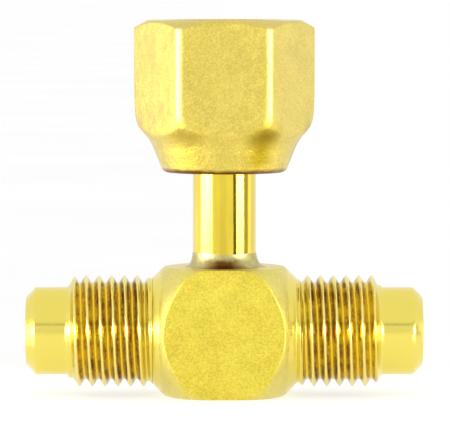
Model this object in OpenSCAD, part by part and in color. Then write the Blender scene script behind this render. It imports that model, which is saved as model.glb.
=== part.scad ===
/* [Run] */
// Length of the run between its two port faces
run_l = 39.4; // [39:0.2:46]
// Width of the forged block across its flats
block_w = 12.8; // [12.6:0.1:13.2]
// Diameter of the sphere that rounds the block's corners
block_round_d = 18.5; // [18.2:0.1:18.8]
// Distance across the block's end chamfers, where they would meet the run's axis
block_chamfer_l = 24.84; // [24.6:0.04:25]
// Diameter of the plain shank beside the block
shank_d = 10.3; // [10:0.1:10.6]

/* [Access ports] */
// Major diameter of the 7/16-20 flare thread
thread_d = 11.11; // [11:0.01:11.12]
// Pitch of the flare thread
thread_pitch = 1.27; // [1.25:0.01:1.29]
// Number of thread rings on each port
thread_rings = 6; // [4:1:6]
// Diameter of the plain nose past the thread
nose_d = 8.7; // [8.4:0.1:9.2]
// Length of the plain nose
nose_l = 4; // [3:0.1:4.2]
// Length and depth of the chamfer round the nose's face
nose_chamfer = 1; // [0.4:0.1:1.2]

/* [Branch stem] */
// Outside diameter of the quarter-inch stem
stem_d = 6.35; // [6.2:0.05:6.4]
// Bore of the stem
stem_bore_d = 4.2; // [3.8:0.1:4.4]
// Height of the braze fillet where it climbs the stem
braze_h = 1.5; // [0.8:0.1:1.8]
// Width of the braze fillet on the block's top
braze_w = 1; // [0.5:0.05:1.1]

/* [Swivel nut] */
// Distance across the nut's flats
nut_af = 15.875; // [15.5:0.125:16.5]
// Height of the nut
nut_h = 15.1; // [14.8:0.1:16]
// Height of the nut's lower face above the run's axis, at the top of its travel
nut_lift = 15.8; // [14.5:0.1:18]
// How far the nut is turned about the stem at rest
nut_turn = 0; // [0:1:59]
// Crest diameter of the nut's inside thread
nut_thread_d = 9.86; // [9.74:0.02:9.9]
// Number of thread rings inside the nut
nut_thread_rings = 5; // [3:1:5]

/* [Valve cores] */
// How far the pin's end lies below the port's face
pin_depth = 0.9; // [0.4:0.1:1.2]
// Turns of the core's coil spring
spring_turns = 6; // [4:1:7]

/* [Hidden] */
$fn = 96;

LEFT = -1;
RIGHT = 1;

// The run's axis lies half the block above its flat base
run_axis_z = block_w / 2;
port_face = run_l / 2;
over = 1;

// Thread rings: V grooves at the thread's pitch, narrower than a cut thread, between wide lands
groove_half = 0.23;
groove_depth = 0.4;
thread_land = thread_pitch - 2 * groove_half;
thread_r = thread_d / 2;
nose_r = nose_d / 2;
thread_lead = 0.8;
thread_end = port_face - nose_l - thread_lead;
thread_ramp = 0.35;

// Shank and its fillet, tangent to the block's 45 degree end chamfer
block_r = block_round_d / 2;
chamfer_end = block_chamfer_l / 2;
shank_r = shank_d / 2;
shank_fillet = 0.5;
fillet_r = shank_r + shank_fillet;
fillet_z = chamfer_end + shank_fillet * sqrt(2) - fillet_r;

// Bore of each port, as depths below its face
mouth_r = 2.8;
mouth_depth = 1.2;
mouth_cone = 0.35;
core_thread_r = 2.3;
core_pitch = 25.4 / 36;
core_groove_depth = 0.3;
core_groove_first = 5.6;
core_grooves = 6;
taper_depth = 6;
taper_end = 7.4;
chamber_r = 1.9;
core_gap = 0.04;

// Stem, its socket in the block, and its flare
stem_r = stem_d / 2;
stem_bore_r = stem_bore_d / 2;
socket_floor = 3.4;
socket_gap = 0.03;
flare_r = 4.6;
flare_edge = 0.6;
flare_wall = stem_r - stem_bore_r;
flare_bevel = (flare_wall - flare_edge) / 2;

// Nut heights, measured up from its lower face
neck_bore_r = stem_r + 0.075;
neck_chamfer = 0.3;
seat_z = 4.5;
seat_r = 4.75;
relief_z = seat_z + seat_r - neck_bore_r;
relief_r = 5.65;
nut_thread_r = nut_thread_d / 2;
nut_thread_z = 8.3;
mouth_chamfer = relief_r - nut_thread_r;
corner_r = 9.03;
crown_r = 7.67;
crown_slope = tan(30);
rim_centre = [5.57, 0.8];
rim_fillet = 0.8;
neck_taper = 20;
shoulder_centre = [11.15, 0.7];
shoulder_fillet = 4.4;
shoulder_flare = 48;
shoulder_top = 4.95;

// Slip washer between the nut's seat and the back of the flare
washer_t = 0.35;
washer_gap = 0.03;
washer_outer_r = 4.7;
cone_gap = washer_gap * sqrt(2);
cone_washer = washer_t * sqrt(2);
flare_offset = 2 * cone_gap + cone_washer;

// Core depressor, as heights above the run's axis
depressor_hub = [17.4, 19.8];
depressor_pin_r = 0.65;
depressor_tip = nut_lift + 8.25;
depressor_slot = 1.1;
depressor_chamfer = 0.25;

// Valve core, as depths below the port's face
plug_top = 2.2;
plug_collar = 3.75;
plug_end = 6;
plug_rings = 3;
plug_bar_r = 2.15;
plug_bar_w = 2.4;
plug_hole_r = 1;
barrel_top = 5.6;
barrel_end = 12;
barrel_r = 1.7;
barrel_bore_r = 1.1;
barrel_lip = 0.6;
barrel_lip_r = 0.7;
shoulder_r = 1.84;
shoulder = [7.6, 7.9];
seal_top = 6.1;
pin_r = 0.5;
pin_tip = 0.2;
pin_collar_r = 0.95;
pin_collar = [6.4, 6.8];
cup_r = 1.6;
cup_wall = 0.15;
cup_top = 12.25;
cup_base = [12.9, 13.4];
rivet_r = 0.8;
rivet_l = 0.4;
seal_gap = 0.02;
spring_wire_r = 0.13;
spring_r = 0.86;
spring_sides = 6;
spring_steps = 14;

// Points of an arc about a centre, from angle a0 to a1
function arc(centre, r, a0, a1, steps) =
    [for (i = [0:steps]) let (a = a0 + (a1 - a0) * i / steps) centre + r * [cos(a), sin(a)]];

// V grooves along a wall at radius r, each depth deep: outwards when positive, inwards when negative
function grooves(r, depth, first, pitch, count) =
    [for (i = [0:count - 1], p = [[0, -groove_half], [depth, 0], [0, groove_half]])
        [r + p.x, first + i * pitch + p.y]];

// Distance from the run's middle of a depth below the port's face
function in_port(depth) = port_face - depth;

// Height on the nut's 45 degree seat at radius r, above the run's axis
function seat(r) = nut_lift + seat_z + r - neck_bore_r;

// Height of the flare's back at radius r, above the run's axis
function flare_back(r) = seat(r) + flare_offset;

// Radius of the port's bore in its sealing taper
function taper_r(depth) =
    core_thread_r + (chamber_r - core_thread_r) * (depth - taper_depth) / (taper_end - taper_depth);

// Stands children on the branch's axis, with height measured from the run's axis
module on_branch() {
    translate([0, 0, run_axis_z]) children();
}

// Turns children so that +Z runs outwards along one port's axis
module on_port(side) {
    on_branch() rotate([0, 90 * side, 0]) children();
}

// Outside of one port, from the middle of the run to its face
module port_outside() {
    rotate_extrude() polygon(concat(
        [[0, 0]],
        arc([fillet_r, fillet_z], shank_fillet, 225, 180, 8),
        [[thread_r, fillet_z + thread_ramp]],
        grooves(thread_r, -groove_depth, thread_end - (thread_rings - 1) * thread_pitch + groove_half,
            thread_pitch, thread_rings - 1),
        [
            [thread_r, thread_end], [nose_r, thread_end + thread_lead],
            [nose_r, port_face - nose_chamfer], [nose_r - nose_chamfer, port_face],
            [0, port_face]
        ]
    ));
}

// Bore of one port, from past the middle of the run to past its face
module port_bore() {
    rotate_extrude() polygon(concat(
        [
            [0, -over], [chamber_r, -over], [chamber_r, in_port(taper_end)],
            [core_thread_r, in_port(taper_depth)]
        ],
        grooves(core_thread_r, core_groove_depth, in_port(core_groove_first),
            core_pitch, core_grooves),
        [
            [core_thread_r, in_port(mouth_depth + mouth_cone)], [mouth_r, in_port(mouth_depth)],
            [mouth_r, port_face + over], [0, port_face + over]
        ]
    ));
}

// Square bar with its corners rounded by a sphere and its two ends chamfered round the run's axis
module forged_block() {
    on_branch() intersection() {
        cube([block_round_d, block_w, block_w], center = true);
        sphere(r = block_r);
        rotate([0, 90, 0]) rotate_extrude()
            polygon([[0, -chamfer_end], [chamfer_end, 0], [0, chamfer_end]]);
    }
}

module tee_body() color("goldenrod") difference() {
    union() {
        forged_block();
        for (side = [LEFT, RIGHT]) on_port(side) port_outside();
    }
    for (side = [LEFT, RIGHT]) on_port(side) port_bore();
    on_branch() cylinder(r = stem_bore_r, h = block_w);
    on_branch() translate([0, 0, socket_floor]) cylinder(r = stem_r + socket_gap, h = block_w);
}

module swivel_stem() color("khaki") on_branch() rotate_extrude() polygon([
    [stem_bore_r, socket_floor], [stem_r, socket_floor],
    [stem_r, flare_back(stem_r)], [flare_r, flare_back(flare_r)],
    [flare_r, flare_back(flare_r) + flare_edge],
    [flare_r - flare_bevel, flare_back(flare_r - flare_bevel) + flare_wall],
    [stem_bore_r, flare_back(stem_bore_r) + flare_wall]
]);

// Hollow meniscus between the block's top and the stem, a quarter of an ellipse
module braze_fillet() color("bisque") on_branch() rotate_extrude() polygon(concat(
    [[stem_r, run_axis_z]],
    [for (a = [90:-10:0]) [
        stem_r + braze_w * (1 - cos(a)),
        run_axis_z + braze_h * (1 - sin(a))
    ]]
));

// Pin that opens the mating port's valve, on a hub with three gas slots
module core_depressor() color("darkkhaki") on_branch() difference() {
    rotate_extrude() polygon([
        [0, depressor_hub[0]], [stem_bore_r, depressor_hub[0]], [stem_bore_r, depressor_hub[1]],
        [depressor_pin_r, depressor_hub[1] + stem_bore_r - depressor_pin_r],
        [depressor_pin_r, depressor_tip - depressor_chamfer],
        [depressor_pin_r - depressor_chamfer, depressor_tip], [0, depressor_tip]
    ]);
    for (a = [0, 120, 240]) rotate([0, 0, a])
        translate([depressor_pin_r, -depressor_slot / 2, depressor_hub[0] - over])
            cube([stem_bore_r, depressor_slot, block_w]);
}

// Limit of the nut's outside: rim, tapered neck, hollow shoulder, corners and crown
module nut_outside() {
    rotate_extrude() polygon(concat(
        [[0, 0]],
        arc(rim_centre, rim_fillet, 270, 360 - neck_taper, 6),
        arc(shoulder_centre, shoulder_fillet, 180 - neck_taper, 180 - shoulder_flare, 8),
        [
            [corner_r, shoulder_top], [corner_r, nut_h - (corner_r - crown_r) * crown_slope],
            [crown_r, nut_h], [0, nut_h]
        ]
    ));
}

module nut_bore() {
    rotate_extrude() polygon(concat(
        [
            [0, -over], [neck_bore_r + neck_chamfer, -over], [neck_bore_r + neck_chamfer, 0],
            [neck_bore_r, neck_chamfer], [neck_bore_r, seat_z], [seat_r, relief_z],
            [relief_r, relief_z], [relief_r, nut_thread_z - mouth_chamfer],
            [nut_thread_r, nut_thread_z]
        ],
        grooves(nut_thread_r, groove_depth, nut_thread_z + thread_land + groove_half,
            thread_pitch, nut_thread_rings - 1),
        [
            [nut_thread_r, nut_h - mouth_chamfer], [relief_r, nut_h],
            [relief_r, nut_h + over], [0, nut_h + over]
        ]
    ));
}

module swivel_nut() color("gold") on_branch()
    translate([0, 0, nut_lift]) rotate([0, 0, nut_turn]) difference() {
        intersection() {
            cylinder(r = nut_af / 2 / cos(30), h = nut_h, $fn = 6);
            nut_outside();
        }
        nut_bore();
    }

module slip_washer() color("peru") on_branch() rotate_extrude() polygon([
    [neck_bore_r, seat(neck_bore_r) + cone_gap],
    [washer_outer_r, seat(washer_outer_r) + cone_gap],
    [washer_outer_r, seat(washer_outer_r) + cone_gap + cone_washer],
    [neck_bore_r, seat(neck_bore_r) + cone_gap + cone_washer]
]);

// Threaded collar, counterbored for the barrel, under a bar with two flats for the core tool
module core_plug(side) {
    on_port(side) difference() {
        union() {
            rotate_extrude() polygon(concat(
                [[0, in_port(plug_end)], [core_thread_r - core_gap, in_port(plug_end)]],
                grooves(core_thread_r - core_gap, core_groove_depth,
                    in_port(core_groove_first), core_pitch, plug_rings),
                [[core_thread_r - core_gap, in_port(plug_collar)], [0, in_port(plug_collar)]]
            ));
            intersection() {
                cylinder(r = plug_bar_r, h = in_port(plug_top));
                translate([-plug_bar_r, -plug_bar_w / 2, in_port(plug_end)])
                    cube([2 * plug_bar_r, plug_bar_w, plug_end - plug_top]);
            }
        }
        cylinder(r = plug_hole_r, h = port_face);
        cylinder(r = barrel_r, h = in_port(barrel_top));
    }
}

// Tube that holds the spring, with a shoulder under its seal and a lip at its inner end
module core_barrel(side) {
    on_port(side) rotate_extrude() polygon([
        [barrel_lip_r, in_port(barrel_end)], [barrel_r, in_port(barrel_end)],
        [barrel_r, in_port(shoulder[1])], [shoulder_r, in_port(shoulder[1])],
        [shoulder_r, in_port(shoulder[0])], [barrel_r, in_port(shoulder[0])],
        [barrel_r, in_port(barrel_top)], [barrel_bore_r, in_port(barrel_top)],
        [barrel_bore_r, in_port(barrel_end - barrel_lip)],
        [barrel_lip_r, in_port(barrel_end - barrel_lip)]
    ]);
}

module barrel_seal(side) {
    on_port(side) rotate_extrude() polygon([
        [barrel_r, in_port(shoulder[0])], [chamber_r - seal_gap, in_port(shoulder[0])],
        [chamber_r - seal_gap, in_port(taper_end)],
        [taper_r(seal_top) - seal_gap, in_port(seal_top)], [barrel_r, in_port(seal_top)]
    ]);
}

// Pin with a collar that the spring pushes on, and a riveted inner end
module core_pin(side) {
    on_port(side) rotate_extrude() polygon([
        [0, in_port(cup_base[1] + rivet_l)], [rivet_r, in_port(cup_base[1] + rivet_l)],
        [rivet_r, in_port(cup_base[1])], [pin_r, in_port(cup_base[1])],
        [pin_r, in_port(pin_collar[1])], [pin_collar_r, in_port(pin_collar[1])],
        [pin_collar_r, in_port(pin_collar[0])], [pin_r, in_port(pin_collar[0])],
        [pin_r, in_port(pin_depth + pin_tip)], [pin_r - pin_tip, in_port(pin_depth)],
        [0, in_port(pin_depth)]
    ]);
}

// Cup that carries the seal against the barrel's inner end
module valve_cup(side) {
    on_port(side) rotate_extrude() polygon([
        [pin_r, in_port(cup_base[1])], [cup_r, in_port(cup_base[1])],
        [cup_r, in_port(cup_top)], [cup_r - cup_wall, in_port(cup_top)],
        [cup_r - cup_wall, in_port(cup_base[0])], [pin_r, in_port(cup_base[0])]
    ]);
}

module cup_seal(side) {
    on_port(side) rotate_extrude() polygon([
        [pin_r, in_port(cup_base[0])], [cup_r - cup_wall, in_port(cup_base[0])],
        [cup_r - cup_wall, in_port(barrel_end + seal_gap)], [pin_r, in_port(barrel_end + seal_gap)]
    ]);
}

// Round wire swept along a helix between the barrel's lip and the pin's collar
module core_spring(side) {
    low = in_port(barrel_end - barrel_lip - seal_gap) + spring_wire_r;
    high = in_port(pin_collar[1] + seal_gap) - spring_wire_r;
    rings = spring_turns * spring_steps;
    points = [for (i = [0:rings], j = [0:spring_sides - 1])
        let (
            turn = i * 360 / spring_steps,
            around = j * 360 / spring_sides,
            r = spring_r + spring_wire_r * cos(around),
            z = low + (high - low) * i / rings + spring_wire_r * sin(around)
        ) [r * cos(turn), r * sin(turn), z]];
    sides = [for (i = [0:rings - 1], j = [0:spring_sides - 1])
        let (k = (j + 1) % spring_sides)
        [i * spring_sides + k, i * spring_sides + j,
            (i + 1) * spring_sides + j, (i + 1) * spring_sides + k]];
    first_end = [for (j = [0:spring_sides - 1]) j];
    last_end = [for (j = [spring_sides - 1:-1:0]) rings * spring_sides + j];
    on_port(side) polyhedron(points, concat(sides, [first_end, last_end]));
}

tee_body();
swivel_stem();
braze_fillet();
core_depressor();
swivel_nut();
slip_washer();

color("gold") core_plug(LEFT);  // left_core_plug
color("khaki") core_barrel(LEFT);  // left_core_barrel
color("white") barrel_seal(LEFT);  // left_barrel_seal
color("silver") core_spring(LEFT);  // left_core_spring
color("goldenrod") core_pin(LEFT);  // left_core_pin
color("gold") valve_cup(LEFT);  // left_valve_cup
color("dimgray") cup_seal(LEFT);  // left_cup_seal

color("gold") core_plug(RIGHT);  // right_core_plug
color("khaki") core_barrel(RIGHT);  // right_core_barrel
color("white") barrel_seal(RIGHT);  // right_barrel_seal
color("silver") core_spring(RIGHT);  // right_core_spring
color("goldenrod") core_pin(RIGHT);  // right_core_pin
color("gold") valve_cup(RIGHT);  // right_valve_cup
color("dimgray") cup_seal(RIGHT);  // right_cup_seal
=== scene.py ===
"""Brass flare access tee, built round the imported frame. Lengths are in millimetres unless they say metres."""
import bpy
import bmesh
import math
import numpy as np
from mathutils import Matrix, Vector


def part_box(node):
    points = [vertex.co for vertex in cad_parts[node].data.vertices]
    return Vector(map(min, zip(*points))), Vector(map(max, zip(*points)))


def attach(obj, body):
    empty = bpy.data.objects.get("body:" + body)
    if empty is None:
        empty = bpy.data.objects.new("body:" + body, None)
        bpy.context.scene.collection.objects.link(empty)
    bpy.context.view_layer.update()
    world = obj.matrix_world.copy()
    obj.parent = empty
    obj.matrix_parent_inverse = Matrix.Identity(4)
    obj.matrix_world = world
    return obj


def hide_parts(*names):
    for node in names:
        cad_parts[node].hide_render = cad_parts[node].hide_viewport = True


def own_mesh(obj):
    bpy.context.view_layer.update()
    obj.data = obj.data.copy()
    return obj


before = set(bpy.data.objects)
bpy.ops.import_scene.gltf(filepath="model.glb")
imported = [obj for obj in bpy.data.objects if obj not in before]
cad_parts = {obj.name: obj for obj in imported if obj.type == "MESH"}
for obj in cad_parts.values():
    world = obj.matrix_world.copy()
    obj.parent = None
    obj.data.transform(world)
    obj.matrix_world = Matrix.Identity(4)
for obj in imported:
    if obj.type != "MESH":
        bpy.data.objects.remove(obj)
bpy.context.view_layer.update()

MM = 0.001
TAU = 2 * math.pi


# ---------------------------------------------------------------- sizes, from the frame

def box_mm(node):
    """Lowest and highest corner of a CAD node, in millimetres."""
    low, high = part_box(node)
    return np.array(low) / MM, np.array(high) / MM


TEE_HIGH = box_mm("tee_body")[1]
NUT_LOW, NUT_HIGH = box_mm("swivel_nut")
STEM_LOW, STEM_HIGH = box_mm("swivel_stem")
WASHER_LOW, WASHER_HIGH = box_mm("slip_washer")
DEPRESSOR_LOW, DEPRESSOR_HIGH = box_mm("core_depressor")
BRAZE_LOW, BRAZE_HIGH = box_mm("braze_fillet")

HALF_RUN = TEE_HIGH[0]
HALF_BLOCK = TEE_HIGH[1]
RUN_Z = TEE_HIGH[2] - HALF_BLOCK

PITCH = 1.27
THREAD_R = 5.555
THREAD_ROOT_R = 4.80
SHANK_R = 5.15
BLOCK_R = 9.25
BLOCK_CHAMFER = 12.42
SHANK_FILLET = 0.5
FILLET_R = SHANK_R + SHANK_FILLET
FILLET_W = BLOCK_CHAMFER + SHANK_FILLET * math.sqrt(2) - FILLET_R
TOUCH_W = FILLET_W - SHANK_FILLET / math.sqrt(2)
NOSE_R = 4.35
NOSE_L = 4.0
NOSE_W = HALF_RUN - NOSE_L
MOUTH_R = 2.8
CORE_THREAD_R = 2.3
CORE_THREAD_DEPTH = 0.3
CORE_PITCH = 25.4 / 36
CHAMBER_R = 1.9

STEM_R = 3.175
STEM_BORE_R = 2.1
SOCKET_GAP = 0.03
SOCKET_FLOOR = STEM_LOW[2] - RUN_Z
FLARE_R = STEM_HIGH[0]

NUT_H = NUT_HIGH[2] - NUT_LOW[2]
NUT_HALF_FLATS = 15.875 / 2
NUT_CORNER_ROUND = 1.0
CROWN_R = 7.67
NUT_BORE_R = 3.25
NECK_MOUTH_R = 3.62
NUT_THREAD_R = 4.93
NUT_RELIEF_R = 5.65
SEAT_Z = 4.5
SEAT_R = 4.75


# ---------------------------------------------------------------- outlines

def arc(centre, radius, start, end, steps):
    """Points of an arc, angles in degrees."""
    angles = np.radians(np.linspace(start, end, steps + 1))
    return [(centre[0] + radius * math.cos(a), centre[1] + radius * math.sin(a)) for a in angles]


def rounded(corners, steps=4, closed=True):
    """An outline with each corner (x, y, radius) rounded to its radius."""
    points = []
    count = len(corners)
    for i, (x, y, radius) in enumerate(corners):
        here = np.array((x, y))
        if radius <= 0 or (not closed and i in (0, count - 1)):
            points.append((x, y))
            continue
        before = np.array(corners[i - 1][:2]) - here
        after = np.array(corners[(i + 1) % count][:2]) - here
        room = 0.49 * min(np.linalg.norm(before), np.linalg.norm(after))
        u = before / np.linalg.norm(before)
        v = after / np.linalg.norm(after)
        half = math.acos(max(-1, min(1, float(u @ v)))) / 2
        if half > math.pi / 2 - 0.01:
            points.append((x, y))
            continue
        tangent = min(radius / math.tan(half), room)
        fillet = tangent * math.tan(half)
        centre = here + (u + v) / np.linalg.norm(u + v) * fillet / math.sin(half)
        first = here + u * tangent - centre
        last = here + v * tangent - centre
        for t in np.linspace(0, 1, steps + 1):
            spoke = first * (1 - t) + last * t
            points.append(tuple(centre + spoke / np.linalg.norm(spoke) * fillet))
    return points


def soft_min(a, b, k):
    """The smaller of a and b, rounded over about k where they cross."""
    return 0.5 * (a + b - np.sqrt((a - b) ** 2 + k * k))


def soft_max(a, b, k):
    return 0.5 * (a + b + np.sqrt((a - b) ** 2 + k * k))


# ---------------------------------------------------------------- meshes

class Skin:
    """A surface built from rows of points, each row a closed ring with one point per column."""

    def __init__(self):
        self.points = []
        self.faces = []

    def add(self, rows):
        """Adds an array of rows of points, and returns its array of point numbers."""
        rows = np.asarray(rows, float)
        first = len(self.points)
        self.points.extend(map(tuple, rows.reshape(-1, 3)))
        return np.arange(first, first + rows.shape[0] * rows.shape[1]).reshape(rows.shape[:2])

    def band(self, ids):
        """Quads between neighbouring rings."""
        around = np.roll(ids, -1, axis=1)
        for k in range(len(ids) - 1):
            self.faces.extend(zip(ids[k], around[k], around[k + 1], ids[k + 1]))

    def helix_band(self, ids, along):
        """Quads between rows that climb as they go round, the last and first columns zipped by place."""
        for k in range(len(ids) - 1):
            self.faces.extend(zip(ids[k, :-1], ids[k, 1:], ids[k + 1, 1:], ids[k + 1, :-1]))
        left, right = ids[:, -1], ids[:, 0]
        place_left, place_right = along[:, -1], along[:, 0]
        i = j = 0
        while i < len(left) - 1 or j < len(right) - 1:
            step_left = j == len(right) - 1 or (
                i < len(left) - 1 and place_left[i + 1] <= place_right[j + 1])
            if step_left:
                self.faces.append((left[i], right[j], left[i + 1]))
                i += 1
            else:
                self.faces.append((left[i], right[j], right[j + 1]))
                j += 1

    def cap(self, ring, centre):
        """Triangles from a ring to one point."""
        middle = len(self.points)
        self.points.append(tuple(centre))
        for a, b in zip(ring, np.roll(ring, -1)):
            self.faces.append((a, b, middle))


def plain_object(name, points, faces):
    """A mesh object in the scene, from its points and faces as they are."""
    mesh = bpy.data.meshes.new(name)
    mesh.from_pydata([tuple(p) for p in points], [], [tuple(int(i) for i in f) for f in faces])
    obj = bpy.data.objects.new(name, mesh)
    bpy.context.scene.collection.objects.link(obj)
    return obj


# Edges sharper than this stay crisp, and points closer than this, in millimetres, are welded
SHARP_DEGREES = 35
WELD = 2e-4


def make_object(name, points, faces, sharp=SHARP_DEGREES):
    """A welded, closed mesh object from points in millimetres, with its normals outwards."""
    obj = plain_object(name, points, faces)
    mesh = obj.data
    work = bmesh.new()
    work.from_mesh(mesh)
    bmesh.ops.remove_doubles(work, verts=work.verts, dist=WELD)
    bmesh.ops.dissolve_degenerate(work, edges=work.edges, dist=WELD / 4)
    bmesh.ops.recalc_face_normals(work, faces=work.faces)
    bmesh.ops.scale(work, vec=(MM, MM, MM), verts=work.verts)
    work.to_mesh(mesh)
    work.free()
    shade(obj, sharp)
    return obj


def shade(obj, sharp=SHARP_DEGREES):
    """Smooth shading, with edges sharper than this many degrees left crisp."""
    obj.data.shade_smooth()
    obj.data.set_sharp_from_angle(angle=math.radians(sharp))


def upright(radius, angle, height):
    """Points round the branch, with heights above the row frame's floor."""
    radius, angle, height = np.broadcast_arrays(radius, angle, height)
    return np.stack([radius * np.cos(angle), radius * np.sin(angle), height], -1)


def along_run(radius, angle, place):
    """Points round the run's axis. The angle starts at the back and turns right-handed about +X."""
    radius, angle, place = np.broadcast_arrays(radius, angle, place)
    return np.stack([place, radius * np.cos(angle), radius * np.sin(angle) + RUN_Z], -1)


def lathe(name, outline, put, columns=96, closed=True, wobble=None):
    """Turns an outline of (radius, place) points. When it isn't closed, its ends on the axis are capped."""
    angle = np.arange(columns) * TAU / columns
    skin = Skin()
    rows = []
    for radius, place in outline:
        if wobble:
            radius, place = wobble(radius, place, angle)
        rows.append(put(radius, angle, place))
    if closed:
        ids = skin.add(rows)
        skin.band(np.vstack([ids, ids[:1]]))
    else:
        ids = skin.add(rows[1:-1])
        skin.band(ids)
        for end in (0, -1):
            skin.cap(ids[end], np.mean(rows[end], axis=0))
    return make_object(name, skin.points, skin.faces)


def cut(obj, tool, operation="DIFFERENCE"):
    """Applies an exact boolean, removes the tool and shades the new edges."""
    modifier = obj.modifiers.new("cut", "BOOLEAN")
    modifier.operation = operation
    modifier.solver = "MANIFOLD"
    modifier.object = tool
    bpy.context.view_layer.update()
    graph = bpy.context.evaluated_depsgraph_get()
    result = bpy.data.meshes.new_from_object(obj.evaluated_get(graph))
    obj.modifiers.clear()
    obj.data = result
    bpy.data.objects.remove(tool, do_unlink=True)
    shade(obj)
    return obj


# ---------------------------------------------------------------- threads

def thread_shape(phase):
    """Height, root 0 to crest 1, at a phase in pitches from a crest: 60 degree flanks, rounded ends."""
    rise = (0.40 - np.abs(phase - np.round(phase))) / 0.34
    soft = 0.15
    return 0.5 * (np.sqrt(rise ** 2 + soft ** 2) - np.sqrt((rise - 1) ** 2 + soft ** 2) + 1)


def helix_rows(low, high, crest, pitch, phases, wedge, turn):
    """Places along the axis, one row per thread feature, between plain rings at low and high.

    crest is a crest's place at the first column, and turn is each column's share of a whole turn.
    Rows between follow the helix, and wedge rows fill each end."""
    gap = 0.02 * pitch
    first = math.ceil((low - crest) / pitch) - 1
    last = math.floor((high - crest) / pitch) + 1
    base = [crest + (m + p) * pitch for m in range(first, last + 1) for p in phases]
    base = np.array(sorted(b for b in base if low + gap < b < high - pitch - gap))
    rows = base[:, None] + pitch * turn[None, :]
    share = np.linspace(0, 1, wedge + 1)[:-1, None]
    before = low + (rows[0] - low) * share
    after = high + (rows[-1] - high) * share
    return np.vstack([before, rows, after[::-1]])


def mirrored_phases(half):
    """Phases of one pitch, from half a pitch before the crest to just short of half after it."""
    return sorted({-p for p in half} | {p for p in half if p < 0.5})


FINE_PHASES = mirrored_phases([0, 0.03, 0.06, 0.095, 0.15, 0.22, 0.29, 0.35, 0.395, 0.44, 0.5])
COARSE_PHASES = mirrored_phases([0, 0.07, 0.16, 0.26, 0.36, 0.43, 0.5])


# ---------------------------------------------------------------- tee body

TEE_COLUMNS = 128
TEE_ANGLE = np.arange(TEE_COLUMNS) * TAU / TEE_COLUMNS
# A crest's place at the front of the run on each side, and how far the thread's ends run out
CREST_AT_FRONT = {-1: -11.525 + PITCH / 2, 1: 11.79 + PITCH / 2}
THREAD_IN = (7.15, 7.95)
THREAD_OUT = (14.75, 15.75)


def smooth_step(x, low, high):
    t = np.clip((x - low) / (high - low), 0, 1)
    return t * t * (3 - 2 * t)


def blank_radius(w, side):
    """Radius of the unthreaded blank at distance w from the middle: fillet, shank, cone and nose."""
    inside = np.clip(FILLET_W - w, 0, None)
    fillet = FILLET_R - np.sqrt(np.clip(SHANK_FILLET ** 2 - inside ** 2, 0, None))
    shank = np.where(w < FILLET_W, fillet, SHANK_R)
    nose = soft_max(soft_min(SHANK_R + 14.9 - w, SHANK_R, 0.06), NOSE_R, 0.05)
    radius = np.where(w > 14, nose, shank)
    if side > 0:
        for ring in (7.27, 7.62):
            radius -= 0.07 * np.exp(-((w - ring) / 0.085) ** 2)
    return radius


def run_radius(place, angle, side):
    """Radius of one port's outside, thread included."""
    w = np.abs(place)
    crest = CREST_AT_FRONT[side] + PITCH * (angle / TAU - 0.5)
    phase = (place - crest) / PITCH
    height = thread_shape(phase)
    full = smooth_step(w, *THREAD_IN) * (1 - smooth_step(w, *THREAD_OUT))
    blank = blank_radius(w, side)
    rise = height * (THREAD_R - THREAD_ROOT_R) + THREAD_ROOT_R - SHANK_R
    return blank + full * rise


def core_bore_radius(place, angle, side):
    """Radius of one port's bore where the core screws in, between the mouth's cone and the sealing taper."""
    depth = HALF_RUN - np.abs(place)
    phase = (place - side * (HALF_RUN - 5.6)) / CORE_PITCH - angle / TAU
    height = thread_shape(phase)
    full = smooth_step(depth, 1.2, 1.9) * (1 - smooth_step(depth, 5.2, 5.9))
    mouth = MOUTH_R - (MOUTH_R - CORE_THREAD_R) * smooth_step(depth, 1.15, 1.65)
    return mouth + full * height * CORE_THREAD_DEPTH


def port_outside(skin, side):
    """Rows of one port's outside, in the order of X. Returns their point numbers and places."""
    low, high = sorted((side * (TOUCH_W + 0.045), side * (NOSE_W + 1.4)))
    crest = CREST_AT_FRONT[side] - PITCH / 2
    place = helix_rows(low, high, crest, PITCH, FINE_PHASES, 22, TEE_ANGLE / TAU)
    return skin.add(along_run(run_radius(place, TEE_ANGLE, side), TEE_ANGLE, place)), place


def nose_outline(side):
    """(place, radius) of the nose's end, in to the mouth. The left chamfer is crisp, the right one worn."""
    bevel, worn = (0.07, 0.10) if side < 0 else (0.45, 0.75)
    corners = [
        (NOSE_W + 1.6, NOSE_R, 0), (HALF_RUN - 0.95, NOSE_R, worn), (HALF_RUN, NOSE_R - 1.0, bevel),
        (HALF_RUN, MOUTH_R + 0.22, 0.05), (HALF_RUN - 0.22, MOUTH_R, 0.05), (HALF_RUN - 0.9, MOUTH_R, 0),
    ]
    return [(w * side, r) for w, r in rounded(corners, 5, closed=False)]


def plain_rows(outline):
    return [along_run(r, TEE_ANGLE, place) for place, r in outline]


def port_bore(skin, side):
    """Rows of the threaded part of one port's bore."""
    low, high = sorted((side * (HALF_RUN - 1.1), side * (HALF_RUN - 6.0)))
    crest = side * (HALF_RUN - 5.6)
    place = helix_rows(low, high, crest, CORE_PITCH, COARSE_PHASES, 9, TEE_ANGLE / TAU)
    return skin.add(along_run(core_bore_radius(place, TEE_ANGLE, side), TEE_ANGLE, place)), place


def shank_fillet_rows(side):
    """Rows from the block's end chamfer down the fillet to the shank."""
    return [along_run(blank_radius(w, side), TEE_ANGLE, side * w) for w in (TOUCH_W + 0.015, TOUCH_W + 0.03)]


PAD_EDGE = 0.05
BLEND_EDGE = 0.15


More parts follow.
